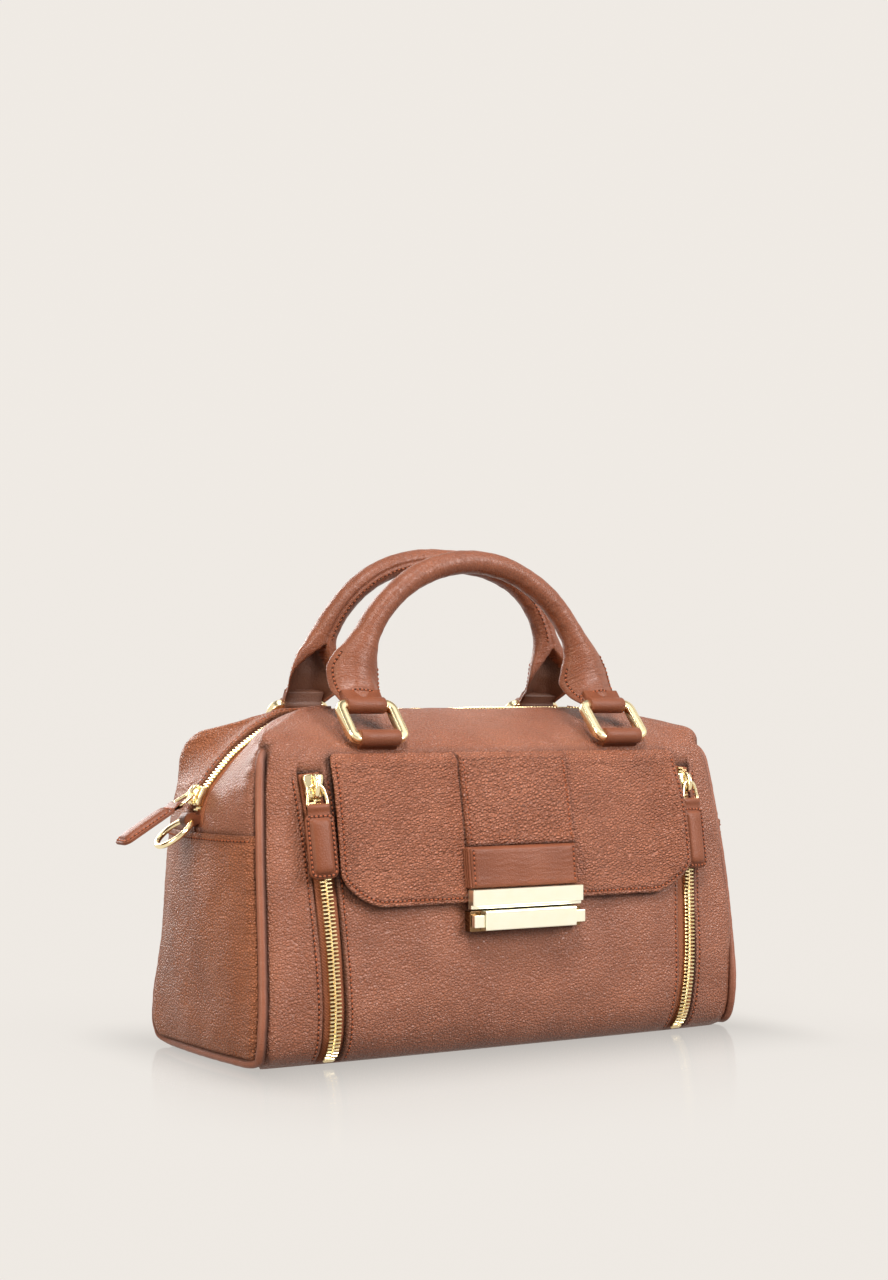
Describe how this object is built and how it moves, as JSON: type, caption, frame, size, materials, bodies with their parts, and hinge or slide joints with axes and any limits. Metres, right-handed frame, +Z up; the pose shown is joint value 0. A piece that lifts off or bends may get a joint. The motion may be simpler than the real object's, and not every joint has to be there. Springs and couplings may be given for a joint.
{
  "type": "leather satchel handbag",
  "caption": "Small leather satchel with a zipped top, a front flap with a metal bar lock, zipped front edges, piped ends and rolled handles on metal rings.",
  "frame": {"origin": "under the middle of the bag, on the surface it stands on", "axes": "+X along the bag to the right as seen from the front, -Y the front with the flap, +Z up"},
  "size_m": [0.3619, 0.1361, 0.2554],
  "materials": {
    "leather": "pebbled, semi-matt",
    "smooth_leather": "smooth, satin",
    "zip_tape": "woven",
    "gold_metal": "polished pale gold plating"
  },
  "bodies": {
    "bag": {"base_panel": "leather", "front_panel": "leather", "back_panel": "leather", "end_panel_left": "leather", "end_panel_right": "leather", "piping_left": "smooth_leather", "piping_right": "smooth_leather", "left_zip_tape": "zip_tape", "left_zip_chain": "gold_metal", "left_zip_slider": "gold_metal", "left_zip_link": "gold_metal", "left_zip_tab": "smooth_leather", "right_zip_tape": "zip_tape", "right_zip_chain": "gold_metal", "right_zip_slider": "gold_metal", "right_zip_link": "gold_metal", "right_zip_tab": "smooth_leather", "top_zip_tape": "zip_tape", "top_zip_chain": "gold_metal", "top_zip_slider": "gold_metal", "top_zip_link": "gold_metal", "top_zip_tab": "smooth_leather", "flap": "leather", "flap_strip": "leather", "lock_tab": "smooth_leather", "lock_plate": "gold_metal", "lock_base": "gold_metal", "lock_bar": "gold_metal", "front_loop_left": "smooth_leather", "front_loop_right": "smooth_leather", "back_loop_left": "smooth_leather", "back_loop_right": "smooth_leather", "strap_loop_left": "smooth_leather", "strap_loop_right": "smooth_leather"},
    "front_rings": {"front_ring_left": "gold_metal", "front_ring_right": "gold_metal"},
    "front_grip": {"front_handle": "smooth_leather"},
    "back_rings": {"back_ring_left": "gold_metal", "back_ring_right": "gold_metal"},
    "back_grip": {"back_handle": "smooth_leather"},
    "left_strap_ring": {"strap_ring_left": "gold_metal"},
    "right_strap_ring": {"strap_ring_right": "gold_metal"},
    "left_button": {"lock_button_left": "gold_metal"},
    "right_button": {"lock_button_right": "gold_metal"}
  },
  "joints": [
    {"name": "front_rings_turn", "type": "hinge", "parent": "bag", "child": "front_rings", "pos_m": [0, -0.048, 0.1564], "axis": [1, 0, 0], "range_deg": [-4, 100]},
    {"name": "front_handle_swing", "type": "hinge", "parent": "front_rings", "child": "front_grip", "pos_m": [0, -0.03375, 0.17223], "axis": [1, 0, 0], "range_deg": [-4, 70]},
    {"name": "back_rings_turn", "type": "hinge", "parent": "bag", "child": "back_rings", "pos_m": [0, 0.048, 0.1564], "axis": [-1, 0, 0], "range_deg": [-4, 100]},
    {"name": "back_handle_swing", "type": "hinge", "parent": "back_rings", "child": "back_grip", "pos_m": [0, 0.03375, 0.17223], "axis": [-1, 0, 0], "range_deg": [-4, 70]},
    {"name": "left_strap_ring_swing", "type": "hinge", "parent": "bag", "child": "left_strap_ring", "pos_m": [-0.15345, 0, 0.1155], "axis": [0, -1, 0], "range_deg": [-25, 42]},
    {"name": "right_strap_ring_swing", "type": "hinge", "parent": "bag", "child": "right_strap_ring", "pos_m": [0.15345, 0, 0.1155], "axis": [0, 1, 0], "range_deg": [-80, 42]},
    {"name": "left_button_press", "type": "slide", "parent": "bag", "child": "left_button", "axis": [1, 0, 0], "range_m": [0, 0.002], "stiffness_N_per_m": 300},
    {"name": "right_button_press", "type": "slide", "parent": "bag", "child": "right_button", "axis": [-1, 0, 0], "range_m": [0, 0.002], "stiffness_N_per_m": 300}
  ]
}
